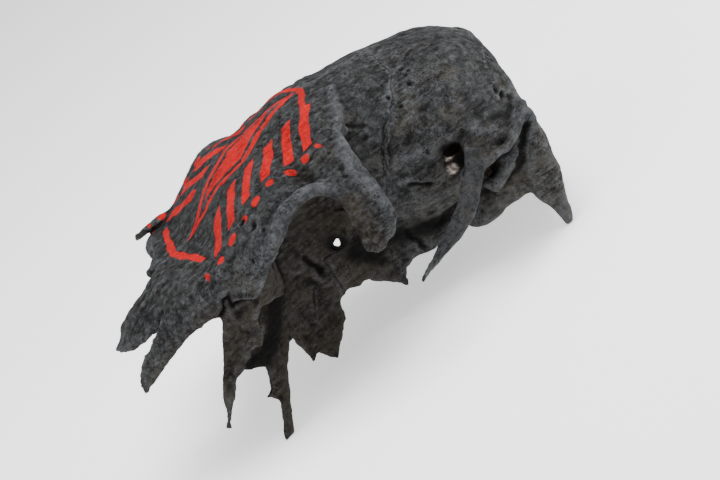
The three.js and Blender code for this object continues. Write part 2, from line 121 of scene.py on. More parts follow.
lens = bpy.data.cameras.new("camera")
lens.sensor_width = SENSOR_WIDE
lens.lens = VIEW_SCALE * VIEW_AWAY / PICTURE_WIDE * SENSOR_WIDE
lens.clip_start = NEAREST_SEEN
camera = bpy.data.objects.new("camera", lens)
bpy.context.scene.collection.objects.link(camera)
spot = place(*AIM) + back * VIEW_AWAY * MM
camera.matrix_world = Matrix(
    (
        (right.x, up.x, back.x, spot.x),
        (right.y, up.y, back.y, spot.y),
        (right.z, up.z, back.z, spot.z),
        (0.0, 0.0, 0.0, 1.0),
    )
)
bpy.context.scene.camera = camera
print("lens", round(lens.lens, 1), "mm")

# %% [markdown]
# The skull lies on a large pale plane that glows a little, like a studio table lit from below, so that
# the soft shadow under it stays light.

# %% The floor
FLOOR_SIZE = 6.0  # m
FLOOR_COLOUR = (0.95, 0.95, 0.95, 1.0)
FLOOR_ROUGHNESS = 0.9
FLOOR_GLOW = 0.7

bpy.ops.object.select_all(action="DESELECT")
bpy.ops.mesh.primitive_plane_add(size=FLOOR_SIZE, location=(0.0, 0.0, 0.0))
floor = bpy.context.object
floor.name = "floor"
floor_paint = bpy.data.materials.new("floor_paint")
floor_paint.use_nodes = True
floor_shader = floor_paint.node_tree.nodes["Principled BSDF"]
floor_shader.inputs["Base Color"].default_value = FLOOR_COLOUR
floor_shader.inputs["Roughness"].default_value = FLOOR_ROUGHNESS
floor_shader.inputs["Emission Color"].default_value = FLOOR_COLOUR
floor_shader.inputs["Emission Strength"].default_value = FLOOR_GLOW
floor.data.materials.append(floor_paint)
print("the floor is", FLOOR_SIZE, "m wide")

# %% [markdown]
# The light is that of a white studio: one broad soft light over the skull, a weaker one from the side
# of the splinters, a low one behind, and a bright world. Each light is placed by how it stands to the
# camera, and none may sink under the floor.

# %% The lights
LIGHTS = [
    # name, direction in camera terms (right, up, back), distance and size in m, watts
    ("key", (-0.30, 0.85, 0.45), 0.9, 0.6, 17.0),
    ("fill", (-0.8, -0.1, 0.7), 1.0, 0.8, 4.5),
    ("rim", (0.75, 0.75, -0.1), 0.9, 0.5, 6.0),
]
LIT_PLACE = (100.0, 0.0, 55.0)
LOWEST_LIGHT = 0.12  # the least rise of a light's direction
WORLD_COLOUR = (0.95, 0.97, 1.0, 1.0)
WORLD_STRENGTH = 0.58


def hang_light(name, direction, distance, size, watts):
    """A square light that faces the skull."""
    lamp = bpy.data.lights.new(name, "AREA")
    lamp.size = size
    lamp.energy = watts
    light = bpy.data.objects.new(name, lamp)
    bpy.context.scene.collection.objects.link(light)
    light.location = place(*LIT_PLACE) + direction * distance
    light.rotation_euler = (-direction).to_track_quat("-Z", "Y").to_euler()


for name, (r, u, b), distance, size, watts in LIGHTS:
    direction = (right * r + up * u + back * b).normalized()
    if direction.z < LOWEST_LIGHT:
        direction.z = LOWEST_LIGHT
        direction.normalize()
    hang_light(name, direction, distance, size, watts)

world = bpy.context.scene.world or bpy.data.worlds.new("studio")
bpy.context.scene.world = world
world.use_nodes = True
world.node_tree.nodes["Background"].inputs["Color"].default_value = WORLD_COLOUR
world.node_tree.nodes["Background"].inputs["Strength"].default_value = WORLD_STRENGTH
print(len(LIGHTS), "lights hang round the skull")

# %% [markdown]
# Bone is one living surface, so the plain facets of the solids have to go. The bones that have grown
# together are copied, swollen by a hair so that they touch, joined, and remeshed on a fine grid. That
# gives three closed skins: the left and right face, which meet at the midline suture, and the
# braincase, which meets both at the toothed coronal suture. Behind the brow the solid roof of the
# socket runs thin to nothing, and a small flat lens of bone is joined in to close it.

# %% Copies of the bones
WELD = 0.01  # mm within which two points are one
LENS_PLACE = (107.6, 56.0, 88.0)
LENS_HALF_SIZE = (5.5, 4.5, 2.0)  # mm along s, w and h


def lens_of_bone(side):
    """The flat lens in the roof of the left (1) or right (-1) eye socket."""
    s, w, h = LENS_PLACE
    half_s, half_w, half_h = np.array(LENS_HALF_SIZE) * MM
    middle = place(s, side * w, h)
    bpy.ops.mesh.primitive_uv_sphere_add(
        segments=24, ring_count=12, radius=1.0, location=middle, scale=(half_w, half_s, half_h)
    )
    return bpy.context.object


def copied(name, nodes, side):
    """Copies of several bones, with the lens of their side, joined to one plain object."""
    bpy.ops.object.select_all(action="DESELECT")
    parts = []
    for node in nodes:
        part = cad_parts[node].copy()
        part.data = part.data.copy()
        part.parent = None
        for key in list(part.keys()):
            del part[key]
        bpy.context.scene.collection.objects.link(part)
        parts.append(part)
    if side:
        parts.append(lens_of_bone(side))
    for part in parts:
        part.select_set(True)
    bpy.context.view_layer.objects.active = parts[0]
    bpy.ops.object.join()
    solid = bpy.context.view_layer.objects.active
    solid.name = name
    solid.data.name = name
    solid.data.materials.clear()
    bpy.ops.object.mode_set(mode="EDIT")
    bpy.ops.mesh.select_all(action="SELECT")
    bpy.ops.mesh.remove_doubles(threshold=WELD * MM)
    bpy.ops.object.mode_set(mode="OBJECT")
    return solid


print("points closer than", WELD, "mm will be merged")

# %% [markdown]
# A voxel remesh turns the joined copies into one closed skin of small even faces, and a shrinkwrap
# lays that skin back on the plain copies, a little off them. The grid is as fine as the number of
# triangles in a piece allows.

# %% Skins over the bones
SKINS = {
    # bones, grid in mm, side of the socket that the skin covers
    "face_left": (["frontal_left", "palatine_left", "lacrimal_left"], 0.75, 1),
    "face_right": (["frontal_right", "palatine_right", "lacrimal_right"], 0.8, -1),
    "braincase": (["parietal", "occipital", "temporal_left", "temporal_right", "sphenoid"], 0.95, 0),
}
SWELL = 0.17  # mm, a little over half the gap between two bones
SEAM_LIFT = 0.13  # mm that a skin stands off the solids, a little under half that gap


def applied(piece, kind, **settings):
    """Adds one modifier to a piece, sets it and applies it."""
    modifier = piece.modifiers.new(kind.lower(), kind)
    for key, value in settings.items():
        setattr(modifier, key, value)
    bpy.ops.object.modifier_apply(modifier=modifier.name)


def skin_over(name, nodes, grid, side):
    """A remeshed skin over copies of several bones, and the shape of the bones to measure from."""
    solid = copied(name + "_solid", nodes, side)
    skin = copied(name, nodes, side)
    applied(skin, "DISPLACE", strength=SWELL * MM, mid_level=0.0)
    applied(skin, "REMESH", mode="VOXEL", voxel_size=grid * MM, adaptivity=0.0)
    applied(
        skin, "SHRINKWRAP", target=solid, wrap_method="NEAREST_SURFACEPOINT", wrap_mode="OUTSIDE_SURFACE",
        offset=SEAM_LIFT * MM,
    )
    shape = BVHTree.FromObject(solid, bpy.context.evaluated_depsgraph_get())
    bpy.data.objects.remove(solid, do_unlink=True)
    return skin, shape


skins = {}
shapes = {}
for name, (nodes, grid, side) in SKINS.items():
    skins[name], shapes[name] = skin_over(name, nodes, grid, side)
    print(name, len(skins[name].data.polygons) * 2, "triangles")

# %% [markdown]
# A skin is shaped by moving its points in code, as a sculptor would with a smoothing brush and a few
# carving tools. Each skin keeps its points, its edges and its places on the skull as tables of numbers,
# so that one line can move a hundred thousand points. Near a suture the tools have to stop, so each
# point also knows how close it is to the other skins. From here on a pair of numbers often names a
# slope: the place where it starts or ends, and the distance that it takes.

# %% Points of a skin
SEAM = (0.7, 2.0)  # mm from another skin's bones: near them the tools hardly move a point
JOINT = (0.30, 0.25)  # mm: nearer still, a point isn't carved at all


def rise(values, start, over):
    """0 up to a start, then evenly up to 1."""
    return np.clip((values - start) / over, 0.0, 1.0)


def fall(values, end, over):
    """1 at first, then evenly down to 0 at an end."""
    return np.clip((end - values) / over, 0.0, 1.0)


class Clay:
    """The points of a mesh as a table that can be smoothed, carved and written back."""

    def __init__(self, piece):
        self.mesh = piece.data
        self.count = len(self.mesh.vertices)
        points = np.empty(self.count * 3)
        self.mesh.vertices.foreach_get("co", points)
        self.points = points.reshape(-1, 3)
        ends = np.empty(len(self.mesh.edges) * 2, dtype=np.int32)
        self.mesh.edges.foreach_get("vertices", ends)
        self.a, self.b = ends.reshape(-1, 2).T
        self.neighbours = sum(np.bincount(end, minlength=self.count) for end in (self.a, self.b))
        others = [shape for name, shape in shapes.items() if name != piece.name]
        away = np.empty(self.count)
        for n, point in enumerate(self.points):
            away[n] = min(shape.find_nearest(point)[3] for shape in others)
        away = away * MM_PER_METRE
        self.seam = 1.0 - rise(away, *SEAM)
        self.joint = 1.0 - rise(away, *JOINT)

    def around(self, values):
        """The mean of a value over each point's neighbours."""
        ends = ((self.a, self.b), (self.b, self.a))
        total = [
            sum(np.bincount(here, column[there], self.count) for here, there in ends)
            for column in values.reshape(self.count, -1).T
        ]
        return (np.stack(total, axis=1) / np.maximum(self.neighbours, 1)[:, None]).reshape(values.shape)

    def spread(self, values, times):
        """A value evened out with its neighbours, several times over."""
        for _ in range(times):
            values = (values + self.around(values)) / 2
        return values

    def normals(self):
        """Which way the surface faces at each point."""
        self.write()
        found = np.empty(self.count * 3, dtype=np.float32)
        self.mesh.vertex_normals.foreach_get("vector", found)
        return found.reshape(-1, 3).astype(float)

    def write(self):
        self.mesh.vertices.foreach_set("co", self.points.ravel())
        self.mesh.update()


print("two slopes and the clay are ready")

# %% [markdown]
# Real bone is never quite regular. A table of random numbers on a coarse grid, read smoothly in between,
# gives lumps of any chosen size. The same seed always gives the same bone.

# %% Lumps
LATTICE_SIZE = 32
LATTICE_SHIFT = 100.0  # cells from the corner of the table to the frame's own zero
SEED_STEP = 7.31  # cells between the parts of the table that two seeds read
draw = np.random.default_rng(41)
LATTICE = draw.random((LATTICE_SIZE, LATTICE_SIZE, LATTICE_SIZE)) * 2.0 - 1.0


def lumps(places, size, seed=0.0):
    """Smooth random values from -1 to 1 over lumps of a size in millimetres."""
    grid = places / size + seed * SEED_STEP + LATTICE_SHIFT
    low = np.floor(grid).astype(int)
    part = grid - low
    part = part * part * (3 - 2 * part)
    total = np.zeros(len(places))
    for corner in range(8):
        step = np.array([corner & 1, corner >> 1 & 1, corner >> 2 & 1])
        weight = np.prod(np.where(step, part, 1 - part), axis=1)
        i, j, k = ((low + step) % LATTICE_SIZE).T
        total += weight * LATTICE[i, j, k]
    return total


def rough(places, size, seed=0.0, layers=3):
    """Lumps on lumps, each layer half the size and half the height."""
    return sum(lumps(places, size / 2**n, seed + n) / 2**n for n in range(layers))


def shifts(places, layers):
    """Lumps in each of the three directions, from layers of (height, size, first seed)."""
    total = [
        sum(tall * lumps(places, size, seed + axis) for tall, size, seed in layers) for axis in range(3)
    ]
    return np.stack(total, axis=1)


print("the lumps come from", LATTICE.size, "random numbers")

# %% [markdown]
# Most marks on bone follow a line, such as a ridge for a muscle or a groove for a vessel. Two more
# helpers find how far each point is from such a line and turn that distance into a soft hill.

# %% Lines and hills
def near_line(places, line):
    """Distance in millimetres from each place to a line through points (s, w, h)."""
    best = np.full(len(places), np.inf)
    points = np.array(line, dtype=float)
    for start, end in zip(points[:-1], points[1:]):
        span = end - start
        t = np.clip((places - start) @ span / (span @ span), 0.0, 1.0)
        best = np.minimum(best, np.linalg.norm(places - start - t[:, None] * span, axis=1))
    return best


def near_spot(places, spot):
    """Distance in millimetres from each place to one spot."""
    return np.linalg.norm(places - spot, axis=1)


def hill(distance, reach):
    """1 at no distance, about a third at its reach and nearly 0 at twice that."""
    return np.exp(-((distance / reach) ** 2))


def hump(values, middle, reach):
    """A hill across values that run past a middle."""
    return hill(values - middle, reach)


print("a hill is", round(float(hill(1.0, 1.0)), 2), "high at its reach")

# %% [markdown]
# The marks on the bone are given here. Each kind is a short list of places, and the same marks
# are made on both sides, from the distance to the midline. Ridges come first: the temporal line, the
# rounded brow, and the edges where muscles were tied on.

# %% Ridges
RIDGES = [
    # line of (s, w, h), height in mm, reach in mm
    ([(72, 17, 106), (75, 24, 103.5), (79.5, 32, 100), (84, 40, 97), (90, 54, 92), (93, 63, 86),
      (93, 69, 80), (92, 73, 72)], 1.5, 2.6),
    ([(100, 62, 84), (107, 60, 89), (115, 59, 93), (126, 61, 93), (138, 60.5, 85), (148, 57, 77),
      (156, 53, 72)], 0.9, 4.5),
    ([(36, 46, 62), (48, 45, 64), (60, 43, 66), (70, 40, 70)], 0.7, 3.4),
    ([(86, 36, 42), (77, 36, 40), (68, 36, 36.5), (59, 36, 34.5)], 1.3, 1.5),
    ([(118, 29, 29), (124, 28, 40), (129, 28, 52), (137, 29.5, 60)], 1.3, 2.4),
    ([(144, 26, 18), (136, 26, 30), (130, 27, 42)], 0.6, 1.6),
    ([(2.5, 0, 52), (2, 0, 66), (3, 0, 80)], 0.8, 4.0),
    ([(12, 44, 60), (17, 48, 56), (24, 51, 51), (30, 53, 48)], 0.8, 1.6),
    ([(52, 62, 51), (60, 67, 46), (70, 70, 42), (84, 75, 38.5)], 0.5, 1.4),
    ([(160, 46, 84), (176, 43, 82), (192, 34, 76), (206, 31, 70)], 0.7, 2.6),
    ([(178, 16, 84), (192, 12, 78), (206, 8, 71)], 0.6, 3.2),
]
print("there are", len(RIDGES), "ridges")

# %% [markdown]
# Grooves are where sutures wander, vessels ran and splinters cracked. The deep ones part the splinters
# from the brow and lie under the base, and the finest are the sutures.

# %% Grooves
GROOVES = [
    # line of (s, w, h), depth in mm, reach in mm
    ([(172, 49, 66), (168.3, 49.5, 68.4), (166.7, 50, 71.4), (163.9, 50, 72.2), (164.6, 50.5, 67.6),
      (160.9, 51, 66.9), (158, 51.5, 65.8), (153.7, 52.5, 66.7), (150.2, 53, 67.8),
      (147.4, 54, 67.2)], 2.6, 1.0),
    ([(78.4, 34.5, 95), (75.3, 34, 92), (72.6, 35.7, 89.4)], 1.2, 1.3),
    ([(71, 42, 56.6), (68, 42, 55), (65, 42, 52.2)], 1.9, 1.0),
    ([(73, 42, 55), (66, 42, 50), (60, 43, 47)], 1.2, 2.6),
    ([(104.4, 31.5, 69), (100.4, 31.3, 64), (97, 32, 62)], 1.5, 0.7),
    ([(129.7, 28, 41), (137, 26, 28), (144, 25, 17)], 0.8, 0.5),
    ([(126, 30.7, 57), (124.5, 30, 51), (123, 29.3, 46)], 2.4, 1.4),
    ([(84, 36, 37.5), (76, 34, 35), (68, 33, 32), (62, 33, 30)], 2.2, 2.2),
    ([(82, 31, 36.7), (80, 29, 30), (79.3, 28.8, 24)], 2.4, 1.4),
    ([(10, 45, 55), (15, 47, 50), (20, 48, 44), (25, 48, 38)], 2.4, 2.4),
    ([(24, 43, 34), (19, 44, 36), (12, 42, 37)], 0.7, 0.6),
    ([(17, 47, 59), (24, 47.5, 61.5), (32, 47.5, 62), (46, 46.5, 64.5), (60, 43.5, 67.5),
      (74, 40, 73)], 0.25, 0.7),
    ([(120, 36, 100), (130, 41, 97), (138, 48, 92), (146, 50, 86), (156, 47, 83)], 1.1, 3.0),
    ([(140.3, 45, 69), (140.6, 45, 65), (141.6, 44, 60)], 1.6, 0.9),
    ([(50.3, 36.2, 89.9), (52.8, 36.5, 89.7), (59.5, 37.6, 88), (65.6, 38.5, 85.2), (70.3, 39.8, 80.8),
      (76.3, 40.5, 71.3), (78.2, 39.5, 65.3)], 0.5, 0.6),
    ([(177, 20, 85), (188, 17, 81), (200, 12, 75)], 0.9, 0.7),
    ([(170, 36, 85), (184, 35, 81), (198, 32, 75)], 0.7, 0.6),
    ([(98, 72, 74), (100, 74, 66), (103, 76, 61)], 1.0, 0.6),
    ([(104, 71, 72), (106, 74, 66)], 0.8, 0.5),
    ([(108, 67, 72), (103, 73, 68), (107, 74, 62)], 0.7, 0.6),
    ([(45, 32, 17), (39, 36, 22), (36, 40, 28)], 1.0, 1.2),
    ([(52, 28, 16), (50, 35, 22), (47, 40, 29)], 0.9, 1.2),
]
print("there are", len(GROOVES), "grooves")

# %% [markdown]
# Pits are the small round holes where vessels went in, and hollows are wide and shallow.

# %% Pits and hollows
PITS = [
    # place (s, w, h), depth in mm, reach in mm
    (43.2, 26.0, 97.5, 1.6, 0.7), (44.4, 31.0, 94.3, 1.8, 0.8), (54.8, 29.7, 97.0, 1.6, 0.8),
    (48.9, 32.8, 93.7, 1.5, 0.7), (46.0, 33.8, 92.2, 1.8, 0.8), (49.7, 35.2, 91.0, 1.5, 0.7),
    (54.5, 38.2, 87.5, 1.8, 0.7), (42.0, 29.0, 96.0, 1.4, 0.7), (56.5, 34.0, 93.0, 1.4, 0.6),
    (15.9, 41.8, 67.8, 2.2, 1.1), (14.7, 42.3, 64.8, 2.4, 1.2), (12.8, 42.5, 61.8, 2.2, 1.0),
    (138.3, 50.6, 91.2, 2.6, 1.5), (136.7, 56.5, 88.2, 2.4, 1.2), (142.3, 59.0, 75.2, 2.6, 1.4),
    (66, 41, 60, 1.4, 0.8), (58, 44, 66, 1.2, 0.7), (84, 36, 60, 1.6, 1.0), (98, 29, 42, 2.2, 1.4),
    (30, 12, 99.5, 1.2, 0.7), (36, 20, 97.5, 1.2, 0.7), (63, 12, 106, 1.2, 0.7), (8, 20, 60, 1.6, 1.0),
    (7, 26, 52, 1.4, 1.0), (5, 8, 66, 1.4, 0.9), (107, 73, 59, 2.2, 1.3), (101, 75, 57, 2.0, 1.2),
    (70, 24, 104, 1.4, 0.9), (73, 20, 105.5, 1.4, 0.8), (94, 50, 95.5, 1.3, 0.9),
    (90, 45, 97.5, 1.2, 0.8),
    (77, 37, 81, 1.4, 1.0), (80, 36, 76, 1.4, 0.9), (74, 37, 86, 1.3, 0.8), (29, 43, 38, 1.8, 1.2),
    (33, 42, 33, 1.6, 1.1), (26, 44, 34, 1.6, 1.0), (149, 56, 80, 1.2, 0.8), (164, 40, 85.5, 1.2, 0.7),
]
HOLLOWS = [
    # place (s, w, h), depth in mm, reach in mm: wide and shallow
    (163, 49, 62.5, 1.1, 3.6), (154, 52, 61.5, 1.1, 3.6),
    (105, 70, 73, 1.3, 5.0), (106.5, 74, 65, 1.5, 4.5), (51, 45, 55, 0.9, 4.0), (111, 30, 52, 1.2, 3.2),
    (118, 30, 72, 1.2, 13.0), (132, 27, 30, 1.1, 9.0), (70, 41, 76, 1.4, 13.0), (84, 36, 84, 1.6, 9.0),
    (54, 44, 61, 0.9, 9.0), (30, 46, 66, 0.8, 12.0), (105, 30, 42, 1.4, 8.0), (8, 22, 44, 1.6, 8.0),
    (105, 66, 84, 0.9, 6.0), (122, 12, 103, 0.8, 14.0), (20, 46, 14, 0.7, 6.0),
]
print("there are", len(PITS), "pits and", len(HOLLOWS), "hollows")

# %% [markdown]
# Before a tool goes over the clay, it has to know the ground: where each point lies, which way it
# faces, which edges are sharp, where the bone broke, and which points rest on the floor and stay.

# %% The ground
TOUCHING_H = (-1.0, 8.0)  # a point below this slope rests on the floor
BLUNT = (0.55, 0.35)  # agreement of the normals on an edge that counts as blunt
FRONT_BREAK_S = (146.0, 14.0)
LOWER_BREAK_H = (36.0, 8.0)
LOWER_BREAK_FROM_S = 85.0
BROKEN_TIP = [(102, 75, 64), (106, 76, 55)]
BROKEN_TIP_REACH = 8.0


class Ground:
    """Where the points of a piece lie on the skull, and which way they face."""

    def __init__(self, clay):
        self.normals = clay.normals()
        self.places = skull_places(clay.points)
        self.sided = self.places.copy()
        self.sided[:, 1] = np.abs(self.sided[:, 1])
        self.s, self.side, self.h = self.sided.T
        self.free = rise(self.h, *TOUCHING_H)

    def edges(self, clay):
        """1 on sharp edges, where the normals round about disagree."""
        agreement = np.linalg.norm(clay.spread(self.normals, times=8), axis=1)
        return (1.0 - rise(agreement, *BLUNT)) * (1.0 - clay.seam)

    def breaks(self):
        """1 where the skull was broken: in front, low down and at the tip behind the eye."""
        low = fall(self.h, *LOWER_BREAK_H) * (self.s > LOWER_BREAK_FROM_S)
        tip = hill(near_line(self.sided, BROKEN_TIP), BROKEN_TIP_REACH)
        return np.clip(rise(self.s, *FRONT_BREAK_S) + low + tip, 0.0, 1.0)


print("points under", sum(TOUCHING_H), "mm will move less, and those on the floor not at all")

# %% [markdown]
# First level ground is smoothed, so that no facet shows. Then the whole piece is bent a little by
# broad lumps, which turns straight cut edges into broken ones without thinning a wall. Broken edges
# also get chips.

# %% Smoothing and bending
SMOOTH_ROUNDS = 26
STROKE = 0.6  # the part of the way to its neighbours' mean that a point goes in one round
LEVEL = (0.72, 0.22)  # agreement of the normals where the ground counts as level
LEAST_EASE = 0.06
SEAM_HOLD = 0.97
BENDS = [(0.55, 13.0, 3), (0.25, 4.2, 9)]  # height and size in mm, first seed
CHIPS = [(1.2, 3.8, 12), (1.0, 1.8, 15)]


def smooth(clay):
    """Smooths level ground and leaves edges and tips, where neighbouring normals disagree."""
    agreement = np.linalg.norm(clay.spread(clay.normals(), times=6), axis=1)
    level = np.maximum(rise(agreement, *LEVEL), LEAST_EASE)
    ease = (level * (1.0 - SEAM_HOLD * clay.seam))[:, None]
    for _ in range(SMOOTH_ROUNDS):
        clay.points += (clay.around(clay.points) - clay.points) * ease * STROKE


def bend(clay, ground, chipped):
    moves = shifts(ground.places, BENDS) + shifts(ground.places, CHIPS) * chipped[:, None]
    clay.points += moves * ground.free[:, None] * MM


print("broken edges may move by", sum(tall for tall, _, _ in CHIPS), "mm")

# %% [markdown]
# Two tools work on one spot at a time. One pushes it, and the other rounds a fold that lay under
# muscle. Both stop at the sutures.

# %% Pushing and softening
PUSHES = [
    # place (s, w, h), move (s, w, h) in mm, reach in mm: a broken corner, a filled web
    (94.0, 76.8, 60.5, 1.0, 0.0, 1.8, 3.6), (98.8, 77.3, 56.0, 2.2, 0.0, 4.2, 4.4),
    (108.5, 74.5, 69.0, -1.6, -0.6, 0.4, 3.0), (33.5, 46.5, 61.5, 0.0, 1.5, 0.6, 5.0),
    (41.3, 48.5, 61.5, 0.0, -2.0, -2.0, 4.2), (31.0, 47.0, 56.3, 0.0, 2.4, 0.0, 5.0),
    (36.5, 47.0, 59.0, 0.0, 1.6, 0.0, 4.0), (26.0, 47.3, 55.8, 0.0, 1.5, 0.0, 3.5),
    (29.0, 48.5, 54.5, 0.0, 1.8, 0.0, 3.8), (30.5, 47.5, 51.8, 0.0, 3.0, 0.0, 4.2),
    (111.4, 30.3, 54.8, -0.6, 0.0, -1.4, 1.9), (109.2, 30.3, 50.8, 0.5, 0.0, 1.2, 1.9),
]
SOFTEN = [
    # line of (s, w, h), reach in mm: a fold that muscle has rounded
    ([(33.0, 49.5, 54.5), (28.0, 48.0, 52.5), (22.5, 48.0, 55.5)], 3.4),
    ([(41.0, 49.0, 60.5), (37.0, 50.5, 57.5)], 3.0),
]
SOFTEN_ROUNDS = 45
SOFTEN_STRENGTH = 1.5


def push(clay, ground):
    outwards = np.sign(ground.places[:, 1])
    for *spot, ahead, aside, upward, reach in PUSHES:
        pull = hill(near_spot(ground.sided, spot), reach) * ground.free * (1.0 - clay.seam) * MM
        clay.points += np.stack([pull * aside * outwards, -pull * ahead, pull * upward], axis=1)


def soften(clay, ground):
    near = sum(SOFTEN_STRENGTH * hill(near_line(ground.sided, line), reach) for line, reach in SOFTEN)
    soft = (np.clip(near, 0.0, 1.0) * (1.0 - clay.seam))[:, None] * STROKE
    for _ in range(SOFTEN_ROUNDS):
        clay.points += (clay.around(clay.points) - clay.points) * soft


print(len(PUSHES), "spots to push and", len(SOFTEN), "folds to soften")

# %% [markdown]
# Ridges, grooves and pits are heights along the normals. The lists above are clean lines, and real
# ones wander, so the places are shifted by small lumps before the distance is measured, and the
# grooves fade in and out.

# %% Heights of the marks
WANDER = [(0.5, 2.4, 21), (0.9, 6.0, 24)]  # height and size in mm, first seed
FADE_MEAN = 0.75
FADE_SWING = 0.5
FADE_LUMPS = (5.0, 27)  # size in mm, seed
UNEVEN = 0.3  # the part by which the widths of the pits differ


def marks_height(ground):
    """How far in millimetres the marks raise or sink each point."""
    wander = ground.sided + shifts(ground.places, WANDER)
    fade = FADE_MEAN + FADE_SWING * lumps(ground.places, *FADE_LUMPS)
    height = np.zeros(len(wander))
    for line, tall, reach in RIDGES:
        height += tall * hill(near_line(wander, line), reach)
    for line, deep, reach in GROOVES:
        height -= deep * fade * hill(near_line(wander, line), reach)
    for *spot, deep, reach in PITS:
        uneven = reach * (1 + UNEVEN * math.sin(spot[0] + 3 * spot[1]))
        height -= deep * hill(near_spot(wander, spot), uneven)
    for *spot, deep, reach in HOLLOWS:
        height -= deep * hill(near_spot(ground.sided, spot), reach)
    return height


print("the deepest groove is", max(deep for _, deep, _ in GROOVES), "mm deep")

# %% [markdown]
# Last comes the grain. All bone has a little, with fibres that fan back from the brow. It is coarse
# where the neck and jaw muscles held on, full of pores on the forehead, and roughest where the bone
# broke.

# %% Grain of the surface
FRACTURE = [(104, 69, 79), (103.5, 72, 75), (103.2, 74, 70), (104.5, 76, 65), (105, 77, 60)]
ALL_OVER = (0.22, 6.5, 31, 4)  # height and size in mm, seed, layers
FIBRES = (0.16, 1.9, 33, 1)
UNDER_MUSCLE = (0.40, 4.2, 35, 4)
ON_FRACTURE = (0.5, 2.6, 43, 3)
FAN_STRETCH = (0.35, 1.0, 1.6)
CRUMBS = (2.4, 39, 3)  # size in mm, seed, layers
EDGE_CRUMBS = 0.34  # height in mm
BREAK_CRUMBS = 0.22
PORE_DEPTH = 0.5
PORE_LUMPS = (1.6, 37)  # size in mm, seed
PORE_FROM = 0.28
FOREHEAD_S = (112.0, 34.0)  # middle and reach
FOREHEAD_FACING = 0.2
CREST_S = (3.0, 9.0)
TEMPLE_S = (82.0, 12.0)
TEMPLE_FROM_H = 60.0
TEMPLE_SHARE = 0.6
FRACTURE_REACH = 4.0


def grain(places, tall, size, seed, layers):
    return tall * rough(places, size, seed, layers)


def grain_height(ground, edge, broken):
    """How far in millimetres the grain raises or sinks each point."""
    temple = TEMPLE_SHARE * hump(ground.s, *TEMPLE_S) * (ground.h > TEMPLE_FROM_H)
    muscle = np.clip(hump(ground.s, *CREST_S) + temple, 0.0, 1.0)
    forehead = hump(ground.s, *FOREHEAD_S) * (ground.normals[:, 2] > FOREHEAD_FACING)
    pores = np.clip(lumps(ground.places, *PORE_LUMPS) - PORE_FROM, 0.0, 1.0)
    height = grain(ground.places, *ALL_OVER)
    height += grain(ground.places * FAN_STRETCH, *FIBRES)
    height += muscle * grain(ground.places, *UNDER_MUSCLE)
    height -= forehead * PORE_DEPTH * pores
    height += (EDGE_CRUMBS * edge + BREAK_CRUMBS * broken) * rough(ground.places, *CRUMBS)
    fracture = hill(near_line(ground.sided, FRACTURE), FRACTURE_REACH)
    height += fracture * grain(ground.places, *ON_FRACTURE)
    return height


print("the grain is up to", ON_FRACTURE[0], "mm high")

# %% [markdown]
# Now the tools go over each piece in turn. The result is kept inside the box of the solids.

# %% Carving
SOLID_LOW = np.array(solid_box[0])
SOLID_HIGH = np.array(solid_box[1])


def carve(clay):
    """Shapes a piece and returns where its edges are sharp and where it is broken."""
    smooth(clay)
    ground = Ground(clay)
    edge = ground.edges(clay)
    broken = ground.breaks()
    bend(clay, ground, broken * edge)
    push(clay, ground)
    soften(clay, ground)
    height = (marks_height(ground) + grain_height(ground, edge, broken)) * ground.free * (1.0 - clay.joint)
    clay.points += ground.normals * height[:, None] * MM
    clay.points = np.clip(clay.points, SOLID_LOW, SOLID_HIGH)
    clay.write()
    return edge, broken


carved = {}
for name, skin in skins.items():
    clay = Clay(skin)
    carved[name] = (clay, *carve(clay))
    bpy.ops.object.select_all(action="DESELECT")
    skin.select_set(True)
    bpy.context.view_layer.objects.active = skin
    bpy.ops.object.shade_smooth()
    print(name, clay.count, "points carved")

# %% [markdown]
# A finish needs to know the bone. The first things it asks are where the surface stands out and where
# it sinks in: a point that stands out from the mean of its neighbourhood is worn and gets a painted
# highlight, and one that lies below it is a hollow and gets painted shade. Each answer is kept on the
# points, where the material can read it.

# %% Wear with painted highlights, and painted shade in hollows
BROAD_ROUNDS = 14
FINE_ROUNDS = 3
BROAD_WEAR_HIGHLIGHT = 3.2  # for each millimetre
FINE_WEAR_HIGHLIGHT = 5.0
BROAD_HOLLOW_SHADE = 3.5
FINE_HOLLOW_SHADE = 6.0


def keep(clay, name, values):
    """Stores one value from 0 to 1 for each point."""
    attribute = clay.mesh.attributes.new(name, "FLOAT", "POINT")
    attribute.data.foreach_set("value", np.clip(values, 0.0, 1.0).astype(np.float32))


def standing_out(clay, ground, rounds):
    """How far in millimetres each point stands out from the mean of its neighbourhood."""
    offset = clay.points - clay.spread(clay.points, rounds)
    return np.einsum("ij,ij->i", offset, ground.normals) * MM_PER_METRE


def keep_wear_and_painted_light(clay, ground):
    broad = standing_out(clay, ground, BROAD_ROUNDS)
    fine = standing_out(clay, ground, FINE_ROUNDS)
    # worn: lighter where a point stands out, partly wear and partly a painted highlight
    keep(clay, "worn_and_highlight", clay.spread(broad * BROAD_WEAR_HIGHLIGHT + fine * FINE_WEAR_HIGHLIGHT, times=1))
    # hollow: painted shade where a point lies below its neighbourhood
    keep(clay, "hollow", clay.spread(-broad * BROAD_HOLLOW_SHADE - fine * FINE_HOLLOW_SHADE, times=1))


print("a point", round(1 / BROAD_WEAR_HIGHLIGHT, 2), "mm above the broad mean counts as worn")
